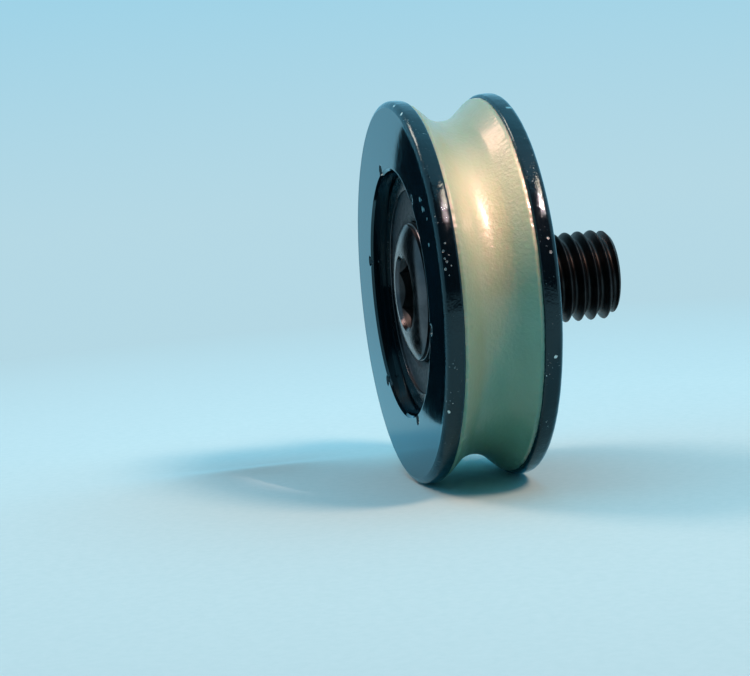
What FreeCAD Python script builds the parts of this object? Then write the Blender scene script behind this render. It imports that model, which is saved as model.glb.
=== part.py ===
import FreeCAD, Part
import math
import os
from FreeCAD import Vector

# Elevator door roller: a flanged steel wheel with a cast tread, on a sealed ball bearing and a stud.
# Millimetres. The wheel spins about +Y and +Z is up. The stud's head faces -Y, its thread points to +Y.
# The origin is on the spin axis, in the plane where the rear spacer bears on the door hanger.

# Ball bearing
bearing_bore = 12.0
bearing_outside = 32.0
bearing_width = 10.0
ring_corner = 0.6
ball_diameter = 5.953
ball_count = 7
ball_clearance = 0.06
race_radius_share = 0.517
inner_race_depth = 1.13
outer_race_depth = 0.88

# Bearing seals
seal_setback = 0.35
seal_rim_thickness = 0.9
seal_thickness_share = 0.426
seal_land_height = 0.15
seal_groove_depth = 0.85
seal_bead_width = 1.2
seal_lip_width = 0.8
seal_lip_drop = 0.45
seal_lip_gap = 0.15

# Ribbon cage
cage_width = 2.0
cage_thickness = 0.4
pocket_clearance = 0.1
rivet_diameter = 1.1
rivet_head_diameter = 1.7
rivet_head_height = 0.3
rivet_gap = 0.02

# Wheel hub
wheel_width = 14.8
flange_thickness = 2.4
hub_wall = 3.38
bearing_recess = 2.0
shoulder_height = 1.3
rim_outer_round = 0.8
rim_inner_round = 0.35
channel_corner_round = 0.5
seat_mouth_chamfer = 0.3
rear_mouth_chamfer = 0.4
seat_gap = 0.02

# Punch marks that keep the bearing in its seat
stake_count = 6
stake_first_angle = 19.0
stake_setback = 0.7
stake_punch_radius = 0.75
stake_punch_depth = 0.9
stake_bulge_radius = 0.8
stake_bulge_height = 0.4

# Cast tread
tread_thickness = 2.4
groove_depth = 3.2
groove_flare = 42.8
lip_drop = 0.5
lip_width = 0.45
lip_round = 0.4
bond_gap = 0.02

# Stud and rear spacer
rear_standoff = 2.2
stud_projection = 11.6
stud_end_chamfer = 0.8
relief_width = 1.2
relief_depth = 0.9
shank_gap = 0.02
head_height = 1.3
head_side = 0.3
head_setback = 0.15
dome_bulge = 0.22
socket_across_flats = 8.0
socket_depth = 5.0
socket_mouth_chamfer = 0.45
socket_drill_angle = 118.0
spacer_chamfer = 0.3

# Places along the axis
rear_face = -rear_standoff
front_face = rear_face - wheel_width
bearing_front = front_face + bearing_recess
bearing_rear = bearing_front + bearing_width
bearing_middle = bearing_front + bearing_width / 2
head_front = bearing_front - head_height
shoulder_thickness = rear_face - bearing_rear

# Radii, from the axis outwards
stud_radius = bearing_bore / 2
pitch_radius = (bearing_bore + bearing_outside) / 4
ball_radius = ball_diameter / 2
race_radius = race_radius_share * ball_diameter
inner_race_bottom = pitch_radius - ball_radius - ball_clearance
outer_race_bottom = pitch_radius + ball_radius + ball_clearance
inner_shoulder = inner_race_bottom + inner_race_depth
outer_shoulder = outer_race_bottom - outer_race_depth
seal_groove = outer_shoulder + seal_groove_depth
pocket_inside = ball_radius + pocket_clearance
pocket_outside = pocket_inside + cage_thickness
seal_thickness = seal_thickness_share * (bearing_width / 2 - pocket_outside - seal_setback)
head_radius = inner_shoulder - head_setback
seat_radius = bearing_outside / 2 + seat_gap
rear_hole_radius = seat_radius - shoulder_height
channel_radius = seat_radius + hub_wall
groove_bottom = channel_radius + tread_thickness
rim_radius = groove_bottom + groove_depth


def turned(start, *steps):
    """Solid turned about the Y axis. A step is a point (radius, y), or (middle, end) for an arc."""
    edges = []
    last = Vector(start[0], start[1], 0)
    for step in steps + (start,):
        if isinstance(step[0], tuple):
            middle = Vector(step[0][0], step[0][1], 0)
            end = Vector(step[1][0], step[1][1], 0)
            edges.append(Part.Arc(last, middle, end).toShape())
        else:
            end = Vector(step[0], step[1], 0)
            edges.append(Part.LineSegment(last, end).toShape())
        last = end
    return Part.Face(Part.Wire(edges)).revolve(Vector(0, 0, 0), Vector(0, 1, 0), 360)


def circles(solid, rings):
    """The solid's round edges that have these radii at these places along the axis."""
    found = []
    for edge in solid.Edges:
        if not isinstance(edge.Curve, Part.Circle):
            continue
        for radius, y in rings:
            same_radius = abs(edge.Curve.Radius - radius) < 1e-4
            if same_radius and abs(edge.Curve.Center.y - y) < 1e-4:
                found.append(edge)
    return found


def rounded(solid, radius, *rings):
    return solid.makeFillet(radius, circles(solid, rings))


def chamfered(solid, size, *rings):
    return solid.makeChamfer(size, circles(solid, rings))


def around(radius, angle, y):
    """A point at this angle from the top of the wheel, towards -X."""
    turn = math.radians(angle)
    return Vector(-radius * math.sin(turn), y, radius * math.cos(turn))


def torus(ring_radius, tube_radius, y):
    return Part.makeTorus(ring_radius, tube_radius, Vector(0, y, 0), Vector(0, 1, 0))


def tube(inner_radius, outer_radius, y, length):
    axis = Vector(0, 1, 0)
    outer = Part.makeCylinder(outer_radius, length, Vector(0, y, 0), axis)
    return outer.cut(Part.makeCylinder(inner_radius, length, Vector(0, y, 0), axis))


def stake(angle):
    """One punch mark beside the seat's mouth, and the metal that it pushed over the bearing."""
    punch = Part.makeCone(
        stake_punch_radius, 0, stake_punch_depth,
        around(seat_radius + stake_setback, angle, front_face), Vector(0, 1, 0))
    bulge_centre = around(
        seat_radius + stake_bulge_radius - stake_bulge_height, angle,
        bearing_front - stake_bulge_radius - seat_gap)
    bulge = Part.makeSphere(stake_bulge_radius, bulge_centre)
    return punch, bulge


def wheel_hub():
    channel_front = front_face + flange_thickness
    channel_rear = rear_face - flange_thickness
    hub = turned(
        (seat_radius, front_face),
        (rim_radius, front_face),
        (rim_radius, channel_front),
        (channel_radius, channel_front),
        (channel_radius, channel_rear),
        (rim_radius, channel_rear),
        (rim_radius, rear_face),
        (rear_hole_radius, rear_face),
        (rear_hole_radius, bearing_rear),
        (seat_radius, bearing_rear))
    hub = rounded(hub, rim_outer_round, (rim_radius, front_face), (rim_radius, rear_face))
    hub = rounded(hub, rim_inner_round, (rim_radius, channel_front), (rim_radius, channel_rear))
    hub = rounded(hub, channel_corner_round, (channel_radius, channel_front), (channel_radius, channel_rear))
    hub = chamfered(hub, seat_mouth_chamfer, (seat_radius, front_face))
    rear_chamfer = min(rear_mouth_chamfer, shoulder_thickness / 2)
    hub = chamfered(hub, rear_chamfer, (rear_hole_radius, rear_face))
    for index in range(stake_count):
        punch, bulge = stake(stake_first_angle + index * 360 / stake_count)
        hub = hub.fuse(bulge).cut(punch)
    return hub


def tread():
    """The cast tread fills the hub's channel. Its groove has a round bottom that runs into flared sides."""
    inner = channel_radius + bond_gap
    lip = rim_radius - lip_drop
    front = front_face + flange_thickness
    rear = rear_face - flange_thickness
    middle = (front + rear) / 2
    flare = math.radians(groove_flare)
    flares_meet = lip - (middle - front - lip_width) * math.tan(flare)
    groove_radius = (groove_bottom - flares_meet) / (1 / math.cos(flare) - 1)
    arc_end = groove_bottom + groove_radius * (1 - math.cos(flare))
    arc_half_width = groove_radius * math.sin(flare)
    ring = turned(
        (inner, front),
        (lip, front),
        (lip, front + lip_width),
        (arc_end, middle - arc_half_width),
        ((groove_bottom, middle), (arc_end, middle + arc_half_width)),
        (lip, rear - lip_width),
        (lip, rear),
        (inner, rear))
    ring = rounded(ring, channel_corner_round, (inner, front), (inner, rear))
    return rounded(ring, lip_round, (lip, front + lip_width), (lip, rear - lip_width))


def bearing_outer_ring():
    outside = bearing_outside / 2
    land = outer_shoulder + seal_land_height
    near = seal_setback
    far = seal_setback + seal_rim_thickness
    ring = turned(
        (outside, bearing_front),
        (outside, bearing_rear),
        (land, bearing_rear),
        (land, bearing_rear - near),
        (seal_groove, bearing_rear - near),
        (seal_groove, bearing_rear - far),
        (outer_shoulder, bearing_rear - far),
        (outer_shoulder, bearing_front + far),
        (seal_groove, bearing_front + far),
        (seal_groove, bearing_front + near),
        (land, bearing_front + near),
        (land, bearing_front))
    ring = rounded(ring, ring_corner, (outside, bearing_front), (outside, bearing_rear))
    return ring.cut(torus(outer_race_bottom - race_radius, race_radius, bearing_middle))


def bearing_inner_ring():
    bore = bearing_bore / 2
    ring = tube(bore, inner_shoulder, bearing_front, bearing_width)
    ring = chamfered(ring, ring_corner / 2, (bore, bearing_front), (bore, bearing_rear))
    corner = ring_corner / 3
    ring = rounded(ring, corner, (inner_shoulder, bearing_front), (inner_shoulder, bearing_rear))
    return ring.cut(torus(inner_race_bottom + race_radius, race_radius, bearing_middle))


def seal(face, inward):
    """Ring seal held in the outer ring's groove. Inward is +1 at the front face and -1 at the rear."""
    rim = seal_groove - seat_gap
    bead = rim - seal_bead_width
    lip_edge = inner_shoulder + seal_lip_gap
    lip_root = lip_edge + seal_lip_width
    front = face + inward * seal_setback
    back = front + inward * seal_thickness
    bead_back = front + inward * seal_rim_thickness
    drop = inward * seal_lip_drop
    return turned(
        (rim, front),
        (rim, bead_back),
        (bead, bead_back),
        (bead - seal_lip_drop, back),
        (lip_root, back),
        (lip_edge, back + drop),
        (lip_edge, front + drop),
        (lip_root, front))


def ball_place(index):
    return around(pitch_radius, index * 360 / ball_count, bearing_middle)


def rivet_place(index):
    return around(pitch_radius, (index + 0.5) * 360 / ball_count, bearing_middle)


def sphere(radius, index):
    """A sphere round a ball's centre, with its poles on the line from the bearing's axis."""
    centre = ball_place(index)
    return Part.makeSphere(radius, centre, centre - Vector(0, bearing_middle, 0))


def ball(index):
    return sphere(ball_radius, index)


def rivet_hole(index):
    start = rivet_place(index) - Vector(0, cage_thickness, 0)
    return Part.makeCylinder(rivet_diameter / 2 + rivet_gap, 2 * cage_thickness, start, Vector(0, 1, 0))


def cage_half(side):
    """Half of the pressed ribbon cage: flat tabs between the balls and a round pocket over each."""
    inner = pitch_radius - cage_width / 2
    outer = pitch_radius + cage_width / 2
    tab_start = bearing_middle if side > 0 else bearing_middle - cage_thickness
    half_start = bearing_middle if side > 0 else bearing_middle - pocket_outside
    ribbon = tube(inner, outer, half_start, pocket_outside)
    tabs = tube(inner, outer, tab_start, cage_thickness)
    pockets = [sphere(pocket_outside, index).common(ribbon) for index in range(ball_count)]
    insides = [sphere(pocket_inside, index) for index in range(ball_count)]
    holes = [rivet_hole(index) for index in range(ball_count)]
    return tabs.fuse(pockets).removeSplitter().cut(insides).cut(holes)


def rivet(index):
    """One cage rivet with a low rounded head against each tab."""
    shank = rivet_diameter / 2
    head = rivet_head_diameter / 2
    near = cage_thickness
    far = cage_thickness + rivet_head_height
    flat = head / 3
    step = flat + (head - flat) * math.sin(math.radians(45))
    rise = rivet_head_height * math.cos(math.radians(45))
    body = turned(
        (0, -far),
        (flat, -far),
        ((step, -near - rise), (head, -near)),
        (shank, -near),
        (shank, near),
        (head, near),
        ((step, near + rise), (flat, far)),
        (0, far))
    body.translate(rivet_place(index))
    return body


def cage_rivets():
    return Part.Compound([rivet(index) for index in range(ball_count)])


def hex_socket():
    """Hexagon socket with a corner at the top, a countersunk mouth and a drilled bottom."""
    corner_radius = socket_across_flats / math.sqrt(3)
    corners = [around(corner_radius, index * 60, head_front) for index in range(7)]
    socket = Part.Face(Part.makePolygon(corners)).extrude(Vector(0, socket_depth, 0))
    drill_radius = socket_across_flats / 2
    drill_depth = drill_radius / math.tan(math.radians(socket_drill_angle / 2))
    axis = Vector(0, 1, 0)
    drill = Part.makeCone(drill_radius, 0, drill_depth, Vector(0, head_front + socket_depth, 0), axis)
    mouth_radius = corner_radius + socket_mouth_chamfer
    mouth = Part.makeCone(mouth_radius, 0, mouth_radius, Vector(0, head_front, 0), axis)
    return socket.fuse([drill, mouth])


def stud():
    """Domed head, shank through the bearing, relief groove and the threaded end at its full diameter."""
    shank = stud_radius - shank_gap
    relief = stud_radius - relief_depth
    flat = socket_across_flats / math.sqrt(3) + socket_mouth_chamfer
    side_front = bearing_front - head_side
    dome_middle = (
        (head_radius + flat) / 2 + dome_bulge / 2,
        (side_front + head_front) / 2 - dome_bulge)
    body = turned(
        (0, head_front),
        (flat, head_front),
        (dome_middle, (head_radius, side_front)),
        (head_radius, bearing_front),
        (shank, bearing_front),
        (shank, -relief_width),
        (relief, -relief_width),
        (relief, 0),
        (stud_radius, 0),
        (stud_radius, stud_projection),
        (0, stud_projection))
    body = chamfered(body, stud_end_chamfer, (stud_radius, stud_projection))
    return body.cut(hex_socket())


def rear_spacer():
    length = -bearing_rear
    ring = tube(stud_radius + shank_gap, head_radius, bearing_rear, length)
    return chamfered(ring, spacer_chamfer, (head_radius, 0), (head_radius, bearing_rear))


def build():
    parts = {
        "stud": stud(),
        "rear_spacer": rear_spacer(),
        "bearing_inner_ring": bearing_inner_ring(),
        "wheel_hub": wheel_hub(),
        "tread": tread(),
        "bearing_outer_ring": bearing_outer_ring(),
        "front_seal": seal(bearing_front, 1),
        "rear_seal": seal(bearing_rear, -1),
        "cage_front_half": cage_half(-1),
        "cage_rear_half": cage_half(1),
        "cage_rivets": cage_rivets(),
    }
    for index in range(ball_count):
        parts[f"ball_{index + 1}"] = ball(index)
    return parts


os.makedirs("parts", exist_ok=True)
for name, shape in build().items():
    shape.exportStep(f"parts/{name}.step")
    box = shape.BoundBox
    print(f"{name}: {len(shape.Solids)} solid, valid {shape.isValid()}, volume {shape.Volume:.2f},"
          f" y {box.YMin:.3f} to {box.YMax:.3f}, x {box.XMin:.3f} to {box.XMax:.3f}")
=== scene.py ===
import math

import bmesh
import bpy
import numpy as np
from mathutils import Matrix, Vector, noise


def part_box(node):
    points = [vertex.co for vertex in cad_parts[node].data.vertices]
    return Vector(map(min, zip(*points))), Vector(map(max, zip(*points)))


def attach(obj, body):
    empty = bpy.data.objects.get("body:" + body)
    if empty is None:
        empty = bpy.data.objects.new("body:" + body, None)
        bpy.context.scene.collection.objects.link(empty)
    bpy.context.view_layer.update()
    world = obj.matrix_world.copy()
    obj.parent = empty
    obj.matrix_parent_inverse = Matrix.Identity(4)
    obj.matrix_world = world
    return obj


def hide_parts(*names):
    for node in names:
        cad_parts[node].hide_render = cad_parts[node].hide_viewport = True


# Elevator door roller. Metres, in the frame of the solids: the wheel spins about +Y and +Z is up.
# The stud's head faces -Y, its thread points to +Y, and the wheel stands on its two rims.

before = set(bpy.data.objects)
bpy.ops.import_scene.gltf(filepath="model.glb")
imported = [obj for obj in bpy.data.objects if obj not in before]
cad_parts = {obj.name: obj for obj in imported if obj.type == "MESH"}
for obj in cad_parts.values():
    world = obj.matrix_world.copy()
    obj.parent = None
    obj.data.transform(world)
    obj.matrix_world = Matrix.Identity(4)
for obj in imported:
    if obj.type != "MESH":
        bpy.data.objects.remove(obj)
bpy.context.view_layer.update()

MM = 0.001

# How finely the turned pieces are divided: segments round the axis, and runs along the outline
wheel_segments = 768
outer_ring_segments = 384
small_segments = 288
spacer_segments = 192
mouth_run = 0.12 * MM
hub_run = 1.2 * MM
tread_run = 0.42 * MM
ring_run = 1.0 * MM
seal_run = 0.4 * MM
shank_run = 2.0 * MM

# Places and radii that the solids give
hub_low, hub_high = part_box("wheel_hub")
tread_low, tread_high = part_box("tread")
outer_low, outer_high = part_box("bearing_outer_ring")
inner_low, inner_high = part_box("bearing_inner_ring")
front_seal_low, front_seal_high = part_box("front_seal")
rear_seal_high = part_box("rear_seal")[1]
stud_low, stud_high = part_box("stud")
spacer_low, spacer_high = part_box("rear_spacer")
rim_radius = hub_high.x
front_face = hub_low.y
rear_face = hub_high.y
bearing_front = outer_low.y
bearing_rear = outer_high.y
outer_ring_radius = outer_high.x
inner_shoulder = inner_high.x
seal_rim = front_seal_high.x
head_front = stud_low.y
head_radius = stud_high.x
thread_end = stud_high.y
lip_radius = tread_high.x
floor_height = -rim_radius

# Wheel hub
seat_gap = 0.02 * MM
hub_wall = 3.38 * MM
shoulder_height = 1.3 * MM
rim_outer_round = 0.8 * MM
rim_inner_round = 0.35 * MM
channel_corner_round = 0.5 * MM
seat_mouth_chamfer = 0.3 * MM
rear_mouth_chamfer = 0.4 * MM
edge_softness = 0.06 * MM
seat_radius = outer_ring_radius + seat_gap
channel_radius = seat_radius + hub_wall

# Punch marks round the mouth of the bearing's seat
stake_count = 6
stake_first_angle = 19.0
stake_setback = 0.7 * MM
stake_punch_radius = 0.75 * MM
stake_punch_depth = 0.9 * MM
stake_bulge_radius = 0.8 * MM
stake_bulge_height = 0.05 * MM

# Paint that ran and gathered on the rims
rim_crown = 0.13 * MM
paint_lump_depth = 0.035 * MM
paint_lump_length = 1.3 * MM

# Cast tread
bond_gap = 0.02 * MM
tread_thickness = 2.4 * MM
groove_bottom = channel_radius + tread_thickness
groove_flare = math.radians(42.8)
lip_width = 0.45 * MM
lip_round = 0.4 * MM
flash_depth = 0.05 * MM
flash_length = 0.9 * MM
bead_depth = 0.07 * MM
bead_count = 190

# Bearing
ring_corner = 0.6 * MM
inner_ring_corner = ring_corner / 3
land_radius = 13.307 * MM
seal_setback = 0.35 * MM
seal_rim_thickness = 0.9 * MM
seal_thickness = 0.5 * MM
seal_bead_width = 1.2 * MM
seal_lip_width = 0.8 * MM
seal_lip_drop = 0.45 * MM
seal_lip_gap = 0.15 * MM
seal_front_round = 0.15 * MM
outer_shoulder = 13.157 * MM
bore_radius = 6.0 * MM

# Stud and spacer
socket_across_flats = 8.0 * MM
socket_depth = 5.0 * MM
socket_mouth_chamfer = 0.45 * MM
socket_drill_angle = math.radians(118)
head_side = 0.3 * MM
dome_bulge = 0.22 * MM
shank_gap = 0.02 * MM
relief_width = 1.2 * MM
relief_radius = 5.1 * MM
thread_pitch = 1.75 * MM
thread_crest = 5.93 * MM
thread_root = 4.93 * MM
thread_crest_width = thread_pitch / 8
thread_softness = 0.10 * MM
thread_flank_slope = math.sqrt(3)
thread_start = 6.0 * MM
thread_runout = 0.02 * MM
thread_rings_a_turn = 30
thread_end_radius = 5.15 * MM
spacer_chamfer = 0.3 * MM


def unit(vector):
    return vector / np.linalg.norm(vector)


def corner_arc(before, corner, after, rounding, steps=8):
    """Points of the arc that rounds a corner of an outline."""
    to_before = unit(before - corner)
    to_after = unit(after - corner)
    half = math.acos(float(np.dot(to_before, to_after))) / 2
    centre = corner + unit(to_before + to_after) * rounding / math.sin(half)
    start = corner + to_before * rounding / math.tan(half) - centre
    end = corner + to_after * rounding / math.tan(half) - centre
    sweep = math.pi - 2 * half
    points = []
    for step in range(steps + 1):
        share = step / steps
        point = start * math.sin((1 - share) * sweep) + end * math.sin(share * sweep)
        points.append(centre + point / math.sin(sweep))
    return points


def outline(corners, spacing, steps=8, closed=True):
    """An outline of (radius, y) points. A corner is (radius, y) or (radius, y, rounding)."""
    places = [np.array(corner[:2]) for corner in corners]
    points = []
    for index, corner in enumerate(corners):
        rounding = corner[2] if len(corner) > 2 else 0
        if rounding:
            after = places[(index + 1) % len(places)]
            points += corner_arc(places[index - 1], places[index], after, rounding, steps)
        else:
            points.append(places[index])
    return divided(points, spacing, closed)


def divided(points, spacing, closed):
    """The same line with each long run cut into equal runs no longer than the spacing."""
    result = []
    last = len(points) if closed else len(points) - 1
    for index in range(last):
        start = points[index]
        end = points[(index + 1) % len(points)]
        cuts = max(1, math.ceil(np.linalg.norm(end - start) / spacing))
        result += [start + (end - start) * cut / cuts for cut in range(cuts)]
    if not closed:
        result.append(points[-1])
    return result


def grid_mesh(name, grid, closed, sharp_angle=35):
    """A mesh from rings of points round the Y axis. The grid is rings x segments x 3."""
    rings, segments = grid.shape[:2]
    ring = np.arange(rings if closed else rings - 1)[:, None]
    segment = np.arange(segments)[None, :]
    next_ring = (ring + 1) % rings
    next_segment = (segment + 1) % segments
    faces = np.stack([
        ring * segments + segment,
        ring * segments + next_segment,
        next_ring * segments + next_segment,
        next_ring * segments + segment], axis=-1).reshape(-1, 4)
    mesh = bpy.data.meshes.new(name)
    mesh.from_pydata(grid.reshape(-1, 3).tolist(), [], faces.tolist())
    shell = bmesh.new()
    shell.from_mesh(mesh)
    bmesh.ops.remove_doubles(shell, verts=shell.verts, dist=1e-7)
    bmesh.ops.recalc_face_normals(shell, faces=shell.faces)
    shell.to_mesh(mesh)
    shell.free()
    mesh.shade_smooth()
    mesh.set_sharp_from_angle(angle=math.radians(sharp_angle))
    made = bpy.data.objects.new(name, mesh)
    bpy.context.scene.collection.objects.link(made)
    return made


def turned(name, line, segments, shape=None, closed=True):
    """A lathe mesh. shape(angle, radius, y) may move its points, and works on whole arrays."""
    angle = np.linspace(0, 2 * math.pi, segments, endpoint=False)[None, :]
    line = np.array(line)
    radius = np.repeat(line[:, :1], segments, axis=1)
    y = np.repeat(line[:, 1:], segments, axis=1)
    if shape:
        radius, y = shape(angle, radius, y)
    grid = np.stack([-radius * np.sin(angle), y, radius * np.cos(angle)], axis=-1)
    return grid_mesh(name, grid, closed)


def lumps(angle, radius, y, length):
    """Smooth noise from 0 to 1 at each point of a turned surface."""
    x = (-radius * np.sin(angle) / length).ravel()
    z = (radius * np.cos(angle) / length).ravel()
    across = (y / length).ravel()
    values = [noise.noise(Vector(point)) for point in zip(x, across, z)]
    return np.clip(np.array(values).reshape(radius.shape) * 0.9 + 0.5, 0, 1)


def staked(angle, radius, y):
    """Punch marks beside the seat's mouth, and the metal that they pushed over the bearing."""
    for index in range(stake_count):
        middle = math.radians(stake_first_angle + index * 360 / stake_count)
        aside = radius * (np.mod(angle - middle + math.pi, 2 * math.pi) - math.pi)
        from_punch = np.hypot(radius - seat_radius - stake_setback, aside)
        cone = front_face + stake_punch_depth * (1 - from_punch / stake_punch_radius)
        near_mouth = (y < bearing_front) & (radius < rim_radius - rim_outer_round)
        y = np.where((from_punch < stake_punch_radius) & near_mouth, np.maximum(y, cone), y)
        bulge_y = bearing_front - stake_bulge_radius - seat_gap
        room = np.maximum(stake_bulge_radius ** 2 - (y - bulge_y) ** 2 - aside ** 2, 0)
        bulge = seat_radius + stake_bulge_radius - stake_bulge_height - np.sqrt(room)
        on_wall = near_mouth & (radius < seat_radius + edge_softness)
        radius = np.where(on_wall, np.minimum(radius, bulge), radius)
    return radius, y


def hub_shape(angle, radius, y):
    """Punch marks, slightly crowned rims, and paint gathered in lumps on the rims."""
    radius, y = staked(angle, radius, y)
    flange = tread_low.y - front_face
    from_middle = np.minimum(abs(y - front_face - flange / 2), abs(y - rear_face + flange / 2))
    on_rim = radius > rim_radius - rim_outer_round
    radius = radius - np.where(on_rim, rim_crown * (2 * from_middle / flange) ** 2, 0)
    rim = radius > rim_radius - rim_outer_round - rim_crown
    rows = np.where(rim.any(axis=1))[0]
    depth = lumps(angle, radius[rows], y[rows], paint_lump_length) * paint_lump_depth
    radius[rows] -= depth * rim[rows]
    return radius, y


def wheel_hub():
    channel_front = tread_low.y
    channel_rear = tread_high.y
    rear_hole = seat_radius - shoulder_height
    mouth = [
        (seat_radius, bearing_front),
        (seat_radius, front_face + seat_mouth_chamfer),
        (seat_radius + seat_mouth_chamfer, front_face, edge_softness),
        (seat_radius + 2 * stake_setback + 2 * edge_softness, front_face)]
    rest = [
        (seat_radius + 2 * stake_setback + 3 * edge_softness, front_face),
        (rim_radius, front_face, rim_outer_round),
        (rim_radius, channel_front, rim_inner_round),
        (channel_radius, channel_front, channel_corner_round),
        (channel_radius, channel_rear, channel_corner_round),
        (rim_radius, channel_rear, rim_inner_round),
        (rim_radius, rear_face, rim_outer_round),
        (rear_hole + rear_mouth_chamfer, rear_face),
        (rear_hole, rear_face - rear_mouth_chamfer),
        (rear_hole, bearing_rear),
        (seat_radius, bearing_rear)]
    line = outline(mouth, mouth_run, 3, closed=False) + outline(rest, hub_run, 9, closed=False)
    return turned("hub_enamelled", line, wheel_segments, hub_shape)


def tread_shape(angle, radius, y):
    """A thin ragged line of cast flash with small beads along each lip."""
    lip = radius > lip_radius - lip_round
    rows = np.where(lip.any(axis=1))[0]
    ragged = lumps(angle, radius[rows], y[rows], flash_length)
    beads = 0.5 + 0.5 * np.sin(bead_count * angle)
    radius[rows] -= (ragged * flash_depth + ragged * beads * bead_depth) * lip[rows]
    return radius, y


def tread():
    inner = channel_radius + bond_gap
    front, rear = tread_low.y, tread_high.y
    middle = (front + rear) / 2
    flare_run = (rear - front) / 2 - lip_width
    flares_meet = lip_radius - flare_run * math.tan(groove_flare)
    groove_round = (groove_bottom - flares_meet) / (1 / math.cos(groove_flare) - 1)
    corners = [
        (inner, front, channel_corner_round),
        (lip_radius, front),
        (lip_radius, front + lip_width, lip_round),
        (flares_meet, middle, groove_round),
        (lip_radius, rear - lip_width, lip_round),
        (lip_radius, rear),
        (inner, rear, channel_corner_round)]
    return turned("tread_cast", outline(corners, tread_run, 12), wheel_segments, tread_shape)


def bearing_outer_ring():
    near = seal_setback
    far = seal_setback + seal_rim_thickness
    groove = seal_rim + seat_gap
    corners = [
        (outer_ring_radius, bearing_front, ring_corner),
        (outer_ring_radius, bearing_rear, ring_corner),
        (land_radius, bearing_rear, edge_softness),
        (land_radius, bearing_rear - near),
        (groove, bearing_rear - near),
        (groove, bearing_rear - far),
        (outer_shoulder, bearing_rear - far),
        (outer_shoulder, bearing_front + far),
        (groove, bearing_front + far),
        (groove, bearing_front + near),
        (land_radius, bearing_front + near),
        (land_radius, bearing_front, edge_softness)]
    return turned("outer_ring_ground", outline(corners, ring_run, 6), outer_ring_segments)


def bearing_inner_ring():
    corners = [
        (bore_radius, inner_low.y, inner_ring_corner),
        (inner_shoulder, inner_low.y, inner_ring_corner),
        (inner_shoulder, inner_high.y, inner_ring_corner),
        (bore_radius, inner_high.y, inner_ring_corner)]
    return turned("inner_ring_ground", outline(corners, ring_run, 5), small_segments)


def seal(name, front, inward):
    """A moulded seal: a flat ring, a bead at its rim and a thin lip that drops to the inner ring."""
    bead = seal_rim - seal_bead_width
    lip_edge = inner_shoulder + seal_lip_gap
    lip_root = lip_edge + seal_lip_width
    back = front + inward * seal_thickness
    drop = inward * seal_lip_drop
    corners = [
        (seal_rim, front, edge_softness),
        (seal_rim, front + inward * seal_rim_thickness, edge_softness),
        (bead, front + inward * seal_rim_thickness, edge_softness),
        (bead - seal_lip_drop, back),
        (lip_root, back, edge_softness),
        (lip_edge, back + drop, edge_softness),
        (lip_edge, front + drop, edge_softness),
        (lip_root, front, seal_front_round)]
    return turned(name, outline(corners, seal_run, 4), small_segments)


def hexagon(angle):
    """Radius of the hexagonal socket's wall at an angle, with a corner at the top."""
    side = math.radians(60)
    from_flat = np.mod(angle, side) - side / 2
    return socket_across_flats / 2 / np.cos(from_flat)


def head_rings(angle):
    """Rings of (radius, y) from the socket's drilled bottom up its walls and over the dome."""
    across = np.ones_like(angle)
    flat = socket_across_flats / 2
    mouth = socket_across_flats / math.sqrt(3) + socket_mouth_chamfer
    floor = head_front + socket_depth
    apex = floor + flat / math.tan(socket_drill_angle / 2)
    wall = hexagon(angle)
    wall_top = head_front + mouth - wall
    rings = [(across * flat * share, across * (apex + (floor - apex) * share))
             for share in np.linspace(0, 1, 9)]
    rings += [(wall, floor + (wall_top - floor) * share)
              for share in np.linspace(0, 1, 14)]
    rings += [(wall + (mouth - wall) * share, wall_top + (head_front - wall_top) * share)
              for share in np.linspace(0.2, 1, 5)]
    start = np.array((mouth, head_front))
    end = np.array((head_radius, bearing_front - head_side))
    pull = (start + end) / 2 + np.array((dome_bulge, -2 * dome_bulge))
    for share in np.linspace(0.06, 0.97, 15):
        point = (1 - share) ** 2 * start + 2 * share * (1 - share) * pull + share ** 2 * end
        rings.append((across * point[0], across * point[1]))
    return rings


def thread_radius(angle, y):
    """Radius of the right-hand thread's surface, with softened crests and roots."""
    turns = -angle / (2 * math.pi)
    phase = np.mod((y - thread_start) / thread_pitch - turns + 0.5, 1) - 0.5
    from_crest = np.abs(phase) * thread_pitch
    flank = thread_crest - (from_crest - thread_crest_width / 2) * thread_flank_slope
    above = np.logaddexp(0, (thread_crest - flank) / thread_softness)
    lowered = thread_crest - thread_softness * above
    below = np.logaddexp(0, (lowered - thread_root) / thread_softness)
    return thread_root + thread_softness * below


def stud():
    """Domed head with a hexagon socket, shank, relief groove and threaded end."""
    angle = np.linspace(0, 2 * math.pi, small_segments, endpoint=False)
    across = np.ones_like(angle)
    rings = head_rings(angle)
    shank = bore_radius - shank_gap
    plain = outline([
        (head_radius, bearing_front - head_side, edge_softness),
        (head_radius, bearing_front),
        (shank, bearing_front),
        (shank, -relief_width),
        (relief_radius, -relief_width),
        (relief_radius, 0)], shank_run, 3, closed=False)[1:]
    rings += [(across * point[0], across * point[1]) for point in plain]
    for y in np.arange(thread_runout, thread_end, thread_pitch / thread_rings_a_turn):
        radius = np.minimum(thread_radius(angle, y), thread_end_radius + thread_end - y)
        rings.append((radius, across * y))
    end_radius = np.minimum(thread_radius(angle, thread_end), thread_end_radius)
    rings += [(end_radius * share, across * thread_end) for share in np.linspace(1, 0, 8)]
    radius = np.array([ring[0] for ring in rings])
    y = np.array([ring[1] for ring in rings])
    grid = np.stack([-radius * np.sin(angle), y, radius * np.cos(angle)], axis=-1)
    return grid_mesh("stud_blackened", grid, closed=False)


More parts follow.
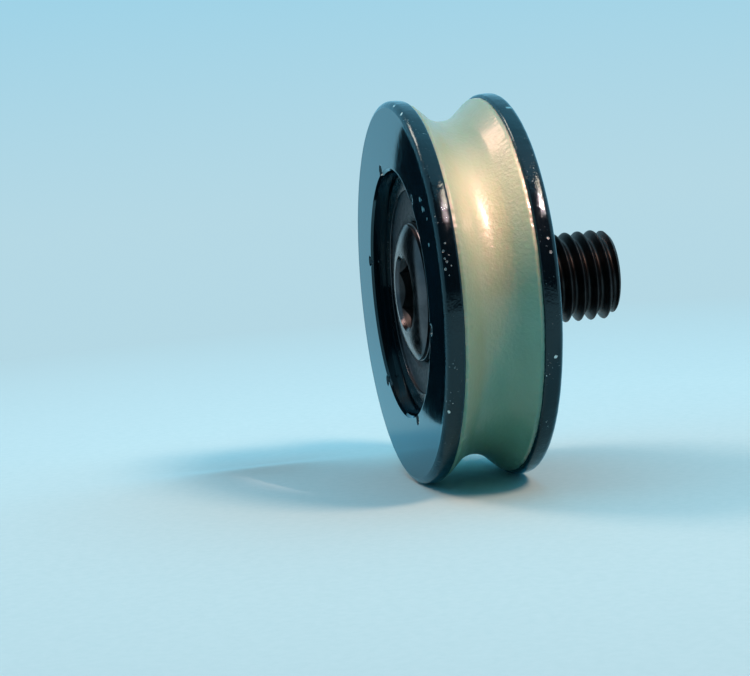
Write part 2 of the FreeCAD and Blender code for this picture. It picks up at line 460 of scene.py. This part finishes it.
def rear_spacer():
    bore = bore_radius + shank_gap
    radius = spacer_high.x
    corners = [
        (bore, spacer_low.y),
        (radius, spacer_low.y, spacer_chamfer),
        (radius, spacer_high.y, spacer_chamfer),
        (bore, spacer_high.y)]
    return turned("spacer_turned", outline(corners, ring_run, 5), spacer_segments)


class Paint:
    """A material with one Principled shader, and short calls that add nodes in front of it."""

    def __init__(self, name, **constants):
        self.material = bpy.data.materials.new(name)
        self.material.use_nodes = True
        self.tree = self.material.node_tree
        self.shader = self.tree.nodes["Principled BSDF"]
        self.place = self.tree.nodes.new("ShaderNodeTexCoord").outputs["Object"]
        for socket, value in constants.items():
            self.shader.inputs[socket.replace("_", " ")].default_value = value

    def node(self, kind, inputs, **settings):
        made = self.tree.nodes.new(kind)
        for key, value in settings.items():
            setattr(made, key, value)
        for key, value in inputs.items():
            if isinstance(value, bpy.types.NodeSocket):
                self.tree.links.new(value, made.inputs[key])
            else:
                made.inputs[key].default_value = value
        return made

    def math(self, operation, first, second=0.0):
        return self.node("ShaderNodeMath", {0: first, 1: second}, operation=operation).outputs[0]

    def noise(self, size, detail=3.0, roughness=0.5, place=None):
        """Noise of about this size in metres, from 0 to 1."""
        inputs = {"Vector": place or self.place, "Scale": 1 / size,
                  "Detail": detail, "Roughness": roughness}
        return self.node("ShaderNodeTexNoise", inputs).outputs["Fac"]

    def remap(self, value, low, high, to_low=0.0, to_high=1.0):
        inputs = {0: value, 1: low, 2: high, 3: to_low, 4: to_high}
        return self.node("ShaderNodeMapRange", inputs).outputs[0]

    def mix(self, share, first, second):
        inputs = {0: share, 6: first, 7: second}
        return self.node("ShaderNodeMix", inputs, data_type="RGBA").outputs[2]

    def ring_place(self):
        """Coordinates that change only with the distance from the axis and the place along it."""
        split = self.node("ShaderNodeSeparateXYZ", {0: self.place})
        inputs = {0: split.outputs[0], 2: split.outputs[2]}
        flat = self.node("ShaderNodeCombineXYZ", inputs).outputs[0]
        radius = self.node("ShaderNodeVectorMath", {0: flat}, operation="LENGTH").outputs["Value"]
        return self.node("ShaderNodeCombineXYZ", {0: radius, 1: split.outputs[1]}).outputs[0]

    def bump(self, height, depth, below=None):
        """A normal that is bumped by a height from 0 to 1, this many metres deep."""
        inputs = {"Height": height, "Distance": depth, "Strength": 1.0}
        if below:
            inputs["Normal"] = below
        return self.node("ShaderNodeBump", inputs).outputs[0]

    def spots(self, spots, ragged_length, ragged_share):
        """A mask that is 1 within each spot, with a ragged edge. A spot is (place, size)."""
        edge = self.noise(ragged_length, 4.0, 0.7)
        nearest = None
        for place, size in spots:
            inputs = {0: self.place, 1: place}
            away = self.node("ShaderNodeVectorMath", inputs, operation="DISTANCE").outputs["Value"]
            share = self.math("DIVIDE", away, size)
            nearest = self.math("MINIMUM", nearest, share) if nearest else share
        ragged = self.remap(edge, 0.25, 0.75, -ragged_share, ragged_share)
        return self.remap(self.math("ADD", nearest, ragged), 0.9, 1.0, 1.0, 0.0)

    def join(self, **sockets):
        for socket, value in sockets.items():
            self.tree.links.new(value, self.shader.inputs[socket.replace("_", " ")])
        return self.material


def around(radius, degrees, y):
    """A point at this angle from the top of the wheel, towards -X."""
    turn = math.radians(degrees)
    return Vector((-radius * math.sin(turn), y, radius * math.cos(turn)))


# Enamel
rim_band_start = rim_radius - 1.3 * MM
rim_band_end = rim_radius - 0.5 * MM
enamel_black = (0.004, 0.005, 0.006, 1)
enamel_grey = (0.009, 0.011, 0.013, 1)
# Colour of the metal at the enamel's chipping, also of the painted glints
bare_steel_and_glint = (0.92, 0.68, 0.60, 1)
bare_and_glint_roughness = 0.38
enamel_thickness = 0.06 * MM
peel_depth = 0.006 * MM
turning_depth = 0.001 * MM
rim_lump_depth = 0.040 * MM
rim_streak_depth = 0.012 * MM
mark_scale = 0.8
mark_ragged_length = 0.30 * MM
mark_ragged_share = 0.55

# Chips in the enamel, and painted glints: radius, angle from the top, place along the axis and size,
# in mm and degrees. The last six, on the front face, are painted glints that stand for reflected
# highlights, made like the metal showing through.
chips_and_painted_glints = [
    (24.8, -9.5, -16.8, 0.35),
    (24.8, -18.9, -16.8, 0.35),
    (24.9, -22.0, -3.1, 0.45),
    (24.9, -72.8, -3.3, 0.25),
    (24.9, -76.8, -3.2, 0.26),
    (24.9, -106.7, -3.3, 0.30),
    (24.9, -121.5, -16.6, 0.32),
    (24.9, -71.5, -16.1, 0.16),
    (24.9, -73.6, -16.5, 0.22),
    (24.9, -74.9, -15.9, 0.14),
    (24.9, -76.8, -16.2, 0.24),
    (24.9, -75.8, -16.4, 0.16),
    (24.9, -77.9, -15.7, 0.15),
    (24.9, -78.8, -16.5, 0.20),
    (24.9, -80.6, -16.1, 0.13),
    # Painted glints on the front face: stand-ins for reflected highlights
    (20.4, -50.6, -17.0, 0.44),
    (21.1, -52.2, -17.0, 0.16),
    (20.6, -54.9, -17.0, 0.50),
    (21.2, -56.2, -17.0, 0.30),
    (21.7, -60.4, -17.0, 0.26),
    (20.3, -68.2, -17.0, 0.32),
]


def black_enamel():
    """Gloss enamel: smooth on the faces, lumpy and dulled on the rims, worn through to the metal in
    chipping and flecks, with painted glints on the front face and a painted cyan tint in its
    reflections.
    """
    # Coat tint: a painted cyan tint in all of the enamel's reflections
    paint = Paint("black_enamel", IOR=1.48, Coat_Weight=1.0, Coat_IOR=1.10, Coat_Roughness=0.05,
                  Coat_Tint=(0.58, 0.90, 1.0, 1.0))
    places = [(around(radius * MM, angle, y * MM), mark_scale * size * MM)
              for radius, angle, y, size in chips_and_painted_glints]
    rings = paint.ring_place()
    radius = paint.node("ShaderNodeSeparateXYZ", {0: rings}).outputs[0]
    on_rim = paint.remap(radius, rim_band_start, rim_band_end)
    worn = paint.math("MULTIPLY", paint.remap(paint.noise(3.5 * MM, 2), 0.48, 0.62), on_rim)
    flecks = paint.math("MULTIPLY", paint.remap(paint.noise(0.30 * MM, 3, 0.6), 0.66, 0.70), worn)
    # Mask of chipping, rim flecks and the painted glints
    chip_and_glint_mask = paint.spots(places, mark_ragged_length, mark_ragged_share)
    bare_and_glint_mask = paint.math("MAXIMUM", chip_and_glint_mask, flecks)
    cloudy = paint.noise(5 * MM, 3)
    colour = paint.mix(paint.remap(cloudy, 0.3, 0.7), enamel_black, enamel_grey)
    colour = paint.mix(bare_and_glint_mask, colour, bare_steel_and_glint)
    smooth = paint.remap(paint.noise(1.5 * MM, 4, 0.6), 0.3, 0.7, 0.05, 0.10)
    dulled = paint.remap(paint.noise(0.9 * MM, 5, 0.7), 0.35, 0.65, 0.04, 0.15)
    rough = paint.math("ADD", paint.math("MULTIPLY", dulled, on_rim),
                       paint.math("MULTIPLY", smooth, paint.math("SUBTRACT", 1.0, on_rim)))
    rough = paint.math("MAXIMUM", rough, paint.math("MULTIPLY", bare_and_glint_mask, bare_and_glint_roughness))
    peel = paint.bump(paint.noise(1.2 * MM, 2), peel_depth)
    turning = paint.bump(paint.noise(0.35 * MM, 2, 0.5, rings), turning_depth, peel)
    lumpy = paint.math("MULTIPLY", paint.noise(0.45 * MM, 3, 0.6), on_rim)
    streaks = paint.math("MULTIPLY", paint.noise(0.22 * MM, 3, 0.6, rings), on_rim)
    on_rims = paint.bump(streaks, rim_streak_depth, paint.bump(lumpy, rim_lump_depth, turning))
    normal = paint.bump(bare_and_glint_mask, -enamel_thickness, on_rims)
    return paint.join(Base_Color=colour, Roughness=rough, Metallic=bare_and_glint_mask, Normal=normal)


# Polyurethane
amber_deep = (0.42, 0.50, 0.30, 1)
amber_pale = (0.47, 0.54, 0.33, 1)
amber_speck = (0.56, 0.57, 0.42, 1)
speck_share = 0.25
grain_depth = 0.09 * MM
ripple_depth = 0.03 * MM


def cast_polyurethane():
    """Cast polyurethane: amber, clouded and translucent, with a finely wrinkled skin."""
    paint = Paint("cast_polyurethane", IOR=1.5, Subsurface_Weight=0.6, Subsurface_Scale=1.3 * MM,
                  Subsurface_Radius=(0.4, 1.0, 0.6), Coat_Weight=0.5, Coat_Roughness=0.17,
                  Coat_IOR=1.5)
    cloudy = paint.noise(5 * MM, 4, 0.6)
    colour = paint.mix(paint.remap(cloudy, 0.3, 0.7), amber_deep, amber_pale)
    specks = paint.remap(paint.noise(0.35 * MM, 2), 0.6, 0.8)
    colour = paint.mix(paint.math("MULTIPLY", specks, speck_share), colour, amber_speck)
    rough = paint.remap(paint.noise(0.8 * MM, 3), 0.3, 0.7, 0.29, 0.38)
    grain = paint.bump(paint.noise(0.46 * MM, 3, 0.55), grain_depth)
    normal = paint.bump(paint.noise(1.6 * MM, 2), ripple_depth, grain)
    return paint.join(Base_Color=colour, Roughness=rough, Normal=normal)


# Steel: the length of the tool's fine rings, and a grain over them
tool_ring_length = 0.12 * MM
ring_share = 0.4
steel_grain_length = 0.25 * MM
steel_grain_depth = 0.003 * MM


def turned_steel(name, dark, pale, rough_low, rough_high, ring_depth):
    """Turned or ground steel: fine rings about the axis, a cloudy tone and uneven gloss."""
    paint = Paint(name, Metallic=1.0)
    rings = paint.noise(tool_ring_length, 3, 0.6, paint.ring_place())
    cloudy = paint.noise(2.5 * MM, 4, 0.6)
    tone = paint.math("ADD", paint.math("MULTIPLY", rings, ring_share),
                      paint.math("MULTIPLY", cloudy, 1 - ring_share))
    colour = paint.mix(paint.remap(tone, 0.35, 0.65), (*dark, 1), (*pale, 1))
    rough = paint.remap(paint.noise(0.7 * MM, 3), 0.3, 0.7, rough_low, rough_high)
    normal = paint.bump(rings, ring_depth)
    normal = paint.bump(paint.noise(steel_grain_length, 3), steel_grain_depth, normal)
    return paint.join(Base_Color=colour, Roughness=rough, Normal=normal)


# Black oxide: within this radius the socket's walls are rougher and darkened with painted shade, and
# the stud past this y is rougher and darker
socket_shade_inside = 4.55 * MM
socket_shade_outside = 4.75 * MM
thread_dull_from = 0.0
thread_dull_full = 1.0 * MM
# Colours of the matt thread, and of the painted shade inside the socket
matt_and_shade_dark = (0.022, 0.022, 0.023, 1)
matt_and_shade_pale = (0.042, 0.042, 0.043, 1)
head_dark = (0.045, 0.048, 0.055, 1)
head_pale = (0.085, 0.088, 0.098, 1)
dull_roughness = 0.24
oxide_ring_depth = 0.0012 * MM
oxide_grain_depth = 0.004 * MM


def black_oxide_steel():
    """Black-oxide steel: bright on the turned head, rougher and darker on the thread, and rougher
    with painted shade inside the socket.
    """
    paint = Paint("black_oxide_steel", Metallic=1.0)
    place = paint.ring_place()
    split = paint.node("ShaderNodeSeparateXYZ", {0: place})
    # Painted shade: the socket's walls take the darker colours
    socket_shade_mask = paint.remap(split.outputs[0], socket_shade_inside, socket_shade_outside, 1.0, 0.0)
    on_thread = paint.remap(split.outputs[1], thread_dull_from, thread_dull_full)
    dull_and_socket_shade = paint.math("MAXIMUM", socket_shade_mask, on_thread)
    rings = paint.noise(tool_ring_length, 3, 0.6, place)
    cloudy = paint.remap(paint.noise(2.5 * MM, 4, 0.6), 0.35, 0.65)
    bright = paint.mix(cloudy, head_dark, head_pale)
    black = paint.mix(cloudy, matt_and_shade_dark, matt_and_shade_pale)
    gloss = paint.remap(paint.noise(0.7 * MM, 3), 0.3, 0.7, 0.13, 0.24)
    rough = paint.math("ADD", gloss, paint.math("MULTIPLY", dull_and_socket_shade, dull_roughness))
    normal = paint.bump(rings, oxide_ring_depth)
    normal = paint.bump(paint.noise(steel_grain_length, 3), oxide_grain_depth, normal)
    return paint.join(Base_Color=paint.mix(dull_and_socket_shade, bright, black), Roughness=rough, Normal=normal)


# Seal rubber
rubber_dark = (0.012, 0.016, 0.019, 1)
rubber_pale = (0.026, 0.032, 0.037, 1)
rubber_grain_depth = 0.006 * MM


def seal_rubber():
    """Moulded black rubber with a fine matt grain."""
    paint = Paint("seal_rubber", Specular_IOR_Level=0.5)
    cloudy = paint.noise(1.5 * MM, 4, 0.6)
    colour = paint.mix(paint.remap(cloudy, 0.3, 0.7), rubber_dark, rubber_pale)
    rough = paint.remap(paint.noise(0.5 * MM, 3), 0.3, 0.7, 0.32, 0.5)
    normal = paint.bump(paint.noise(0.15 * MM, 3), rubber_grain_depth)
    return paint.join(Base_Color=colour, Roughness=rough, Normal=normal)


def dress(piece, body, node, material):
    """The piece stands for the solid, moves with its body and takes this material."""
    piece.data.materials.append(material)
    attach(piece, body)
    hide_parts(node)


def dress_solid(node, material):
    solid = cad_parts[node]
    for place in solid.material_slots:
        place.material = material


def toward(azimuth, elevation):
    """Direction from the roller towards a point at this azimuth and elevation, in degrees."""
    turn, rise = math.radians(azimuth), math.radians(elevation)
    level = math.cos(rise)
    return Vector((math.sin(turn) * level, -math.cos(turn) * level, math.sin(rise)))


# Camera: the photograph's view, about 0.32 m from the roller
camera_place = Vector((0.31003, -0.08595, 0.03119))
camera_azimuth = 78.102
camera_elevation = 6.599
camera_roll = -4.400
camera_lens = 117.656
camera_sensor = 36
camera_near = 0.01
camera_far = 10


def add_camera():
    data = bpy.data.cameras.new("camera")
    data.sensor_width = camera_sensor
    data.lens = camera_lens
    data.clip_start = camera_near
    data.clip_end = camera_far
    camera = bpy.data.objects.new("camera", data)
    bpy.context.scene.collection.objects.link(camera)
    back = toward(camera_azimuth, camera_elevation)
    turn = math.radians(camera_azimuth)
    level = Vector((math.cos(turn), math.sin(turn), 0))
    upright = back.cross(level)
    roll = math.radians(camera_roll)
    right = level * math.cos(roll) + upright * math.sin(roll)
    up = upright * math.cos(roll) - level * math.sin(roll)
    turned_to_view = Matrix((right, up, back)).transposed().to_4x4()
    camera.matrix_world = Matrix.Translation(camera_place) @ turned_to_view
    bpy.context.scene.camera = camera


def add_panel(name, azimuth, elevation, distance, width, height, power, colour):
    data = bpy.data.lights.new(name, "AREA")
    data.shape = "RECTANGLE"
    data.size = width
    data.size_y = height
    place_lamp(data, azimuth, elevation, distance, power, colour)


def add_spot(name, azimuth, elevation, distance, radius, cone, power, colour, target):
    data = bpy.data.lights.new(name, "SPOT")
    data.shadow_soft_size = radius
    data.spot_size = math.radians(cone)
    data.spot_blend = 1.0
    place_lamp(data, azimuth, elevation, distance, power, colour, target)


def place_lamp(data, azimuth, elevation, distance, power, colour, target=Vector((0, 0, 0))):
    data.energy = power
    data.color = colour
    lamp = bpy.data.objects.new(data.name, data)
    direction = toward(azimuth, elevation)
    lamp.location = target + direction * distance
    lamp.rotation_euler = direction.to_track_quat("Z", "Y").to_euler()
    bpy.context.scene.collection.objects.link(lamp)


# Stage: a pale floor that curves up into a wall all round, and dark sheets that only reflections
# see, which paint a dark reflection and shade on the roller
floor_paint = (0.64, 0.86, 0.83, 1)
floor_speck = (0.68, 0.89, 0.86, 1)
floor_bounce = (0.10, 0.27, 0.30, 1)
backdrop_near = (0.460, 0.690, 0.785, 1)
backdrop_far = (0.350, 0.650, 0.800, 1)
ambient_colour = (0.14, 0.62, 0.93, 1)
floor_reach = 0.55
wall_bend = 0.35
wall_height = 0.75
backdrop_start = 0.075
backdrop_full = 0.20
backdrop_fade_height = 0.09
# The card paints the dark reflection of a neighbouring roller on the front face
card_place = Vector((-0.027, -0.033, 0.0005))
card_half_width = 0.0097
card_half_height = 0.023
card_squareness = 4
# The screen paints shade and dark reflections from the camera's side
screen_radius = 0.46
screen_middle = math.radians(80)
screen_half_width = math.radians(62)
screen_top = 0.90
screen_thickness = 2 * MM
screen_columns = 40
# Colour of the dark sheets, which paint shade and dark reflections
painted_shade_colour = (0.008, 0.010, 0.012, 1)


def seen_light(tree, seen_colour, lighting_colour=ambient_colour):
    """The colour that the camera and reflections see, and the dimmer one that lights the scene."""
    path = tree.nodes.new("ShaderNodeLightPath")
    seen = path.outputs["Is Camera Ray"]
    for other in ("Is Glossy Ray", "Is Transmission Ray"):
        both = tree.nodes.new("ShaderNodeMath")
        both.operation = "MAXIMUM"
        tree.links.new(seen, both.inputs[0])
        tree.links.new(path.outputs[other], both.inputs[1])
        seen = both.outputs[0]
    mix = tree.nodes.new("ShaderNodeMix")
    mix.data_type = "RGBA"
    mix.inputs[6].default_value = lighting_colour
    tree.links.new(seen, mix.inputs[0])
    if isinstance(seen_colour, bpy.types.NodeSocket):
        tree.links.new(seen_colour, mix.inputs[7])
    else:
        mix.inputs[7].default_value = seen_colour
    return mix.outputs[2]


def stage_material():
    """Painted floor near the roller, which keeps its shadow, and an even backdrop further out."""
    paint = Paint("stage", Roughness=0.9, Specular_IOR_Level=0.1)
    split = paint.node("ShaderNodeSeparateXYZ", {0: paint.place})
    flat = paint.node("ShaderNodeCombineXYZ", {0: split.outputs[0], 1: split.outputs[1]}).outputs[0]
    distance = paint.node("ShaderNodeVectorMath", {0: flat}, operation="LENGTH").outputs["Value"]
    share = paint.remap(distance, backdrop_start, backdrop_full)
    grain = paint.remap(paint.noise(1.2 * MM, 4, 0.6), 0.3, 0.7)
    floor_colour = paint.mix(grain, floor_paint, floor_speck)
    paint.join(Base_Color=seen_light(paint.tree, floor_colour, floor_bounce))
    height = paint.remap(split.outputs[2], floor_height, floor_height + backdrop_fade_height)
    colour = seen_light(paint.tree, paint.mix(height, backdrop_near, backdrop_far))
    glow = paint.node("ShaderNodeEmission", {"Color": colour}).outputs[0]
    inputs = {0: share, 1: paint.shader.outputs[0], 2: glow}
    both = paint.node("ShaderNodeMixShader", inputs).outputs[0]
    paint.tree.links.new(both, paint.tree.nodes["Material Output"].inputs["Surface"])
    return paint.material


def add_stage():
    line = [(0.0, floor_height), (floor_reach, floor_height)]
    for turn in np.linspace(0.05, math.pi / 2, 24):
        rise = wall_bend * (1 - math.cos(turn))
        line.append((floor_reach + wall_bend * math.sin(turn), floor_height + rise))
    line.append((floor_reach + wall_bend, floor_height + wall_height))
    angle = np.linspace(0, 2 * math.pi, 128, endpoint=False)
    grid = [[(radius * math.cos(a), radius * math.sin(a), z) for a in angle] for radius, z in line]
    floor = grid_mesh("floor", np.array(grid), closed=False)
    floor.data.materials.append(stage_material())


def add_painted_shade_sheet(name, grid):
    """A dark sheet that soft light and reflections see, and the camera doesn't; it paints shade and
    dark reflections.
    """
    sheet = grid_mesh(name, grid, closed=False)
    paint = Paint(name, Roughness=1.0, Specular_IOR_Level=0.0)
    paint.shader.inputs["Base Color"].default_value = painted_shade_colour
    sheet.data.materials.append(paint.material)
    sheet.visible_camera = False
    sheet.visible_shadow = False


def add_painted_shade_sheets():
    """A small upright card beside the front face, a painted dark reflection of a neighbouring roller
    there, and a curved screen behind the camera, which paints shade and dark reflections from that
    side.
    """
    rim = []
    for turn in np.linspace(0, 2 * math.pi, 96, endpoint=False):
        across, along = math.cos(turn), math.sin(turn)
        size = (across ** card_squareness + along ** card_squareness) ** (-1 / card_squareness)
        aside = Vector((0, card_half_width * across, card_half_height * along))
        rim.append(card_place + size * aside)
    add_painted_shade_sheet("card", np.array([[card_place] * len(rim), rim]))
    turns = screen_middle + screen_half_width * np.linspace(-1, 1, screen_columns)
    turns = np.concatenate([turns, turns[::-1]])
    reach = np.repeat([screen_radius, screen_radius + screen_thickness], screen_columns)
    grid = [[(radius * math.sin(turn), -radius * math.cos(turn), z)
             for radius, turn in zip(reach, turns)] for z in (floor_height, screen_top)]
    add_painted_shade_sheet("screen", np.array(grid))


def add_world():
    world = bpy.data.worlds.new("world")
    bpy.context.scene.world = world
    world.use_nodes = True
    background = world.node_tree.nodes["Background"]
    world.node_tree.links.new(seen_light(world.node_tree, backdrop_far), background.inputs["Color"])


def build():
    enamel = black_enamel()
    polyurethane = cast_polyurethane()
    black_oxide = black_oxide_steel()
    rubber = seal_rubber()
    bearing_steel = turned_steel(
        "bearing_steel", dark=(0.06, 0.068, 0.078), pale=(0.11, 0.12, 0.13),
        rough_low=0.16, rough_high=0.28, ring_depth=0.002 * MM)
    ball_steel = turned_steel(
        "ball_steel", dark=(0.66, 0.67, 0.69), pale=(0.74, 0.75, 0.77),
        rough_low=0.04, rough_high=0.10, ring_depth=0.0003 * MM)
    cage_steel = turned_steel(
        "cage_steel", dark=(0.42, 0.40, 0.36), pale=(0.58, 0.56, 0.50),
        rough_low=0.28, rough_high=0.42, ring_depth=0.006 * MM)

    dress(wheel_hub(), "wheel", "wheel_hub", enamel)
    dress(tread(), "wheel", "tread", polyurethane)
    dress(bearing_outer_ring(), "wheel", "bearing_outer_ring", bearing_steel)
    front_seal = seal("front_seal_moulded", front_seal_low.y, 1)
    dress(front_seal, "wheel", "front_seal", rubber)
    rear_seal = seal("rear_seal_moulded", rear_seal_high.y, -1)
    dress(rear_seal, "wheel", "rear_seal", rubber)
    dress(stud(), "stud_body", "stud", black_oxide)
    dress(rear_spacer(), "stud_body", "rear_spacer", black_oxide)
    dress(bearing_inner_ring(), "stud_body", "bearing_inner_ring", bearing_steel)
    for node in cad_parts:
        if node.startswith("ball"):
            dress_solid(node, ball_steel)
        if node.startswith("cage"):
            dress_solid(node, cage_steel)


bpy.context.scene.view_settings.view_transform = "Standard"
add_camera()
add_stage()
add_world()
add_painted_shade_sheets()
add_spot("spot", azimuth=118, elevation=48, distance=0.6, radius=6 * MM, cone=1.86, power=33,
         colour=(1.0, 0.53, 0.48), target=Vector((0.018, -0.007, 0.013)))
add_panel("key", azimuth=134, elevation=52, distance=0.7, width=0.15, height=0.15, power=2.65,
          colour=(1.0, 0.56, 0.40))
add_panel("window", azimuth=-40, elevation=44, distance=0.6, width=0.18, height=0.18, power=1.35,
          colour=(1.0, 0.56, 0.42))
add_panel("sky", azimuth=0, elevation=90, distance=0.7, width=0.9, height=0.9, power=0.8,
          colour=(0.22, 0.80, 1.05))
build()
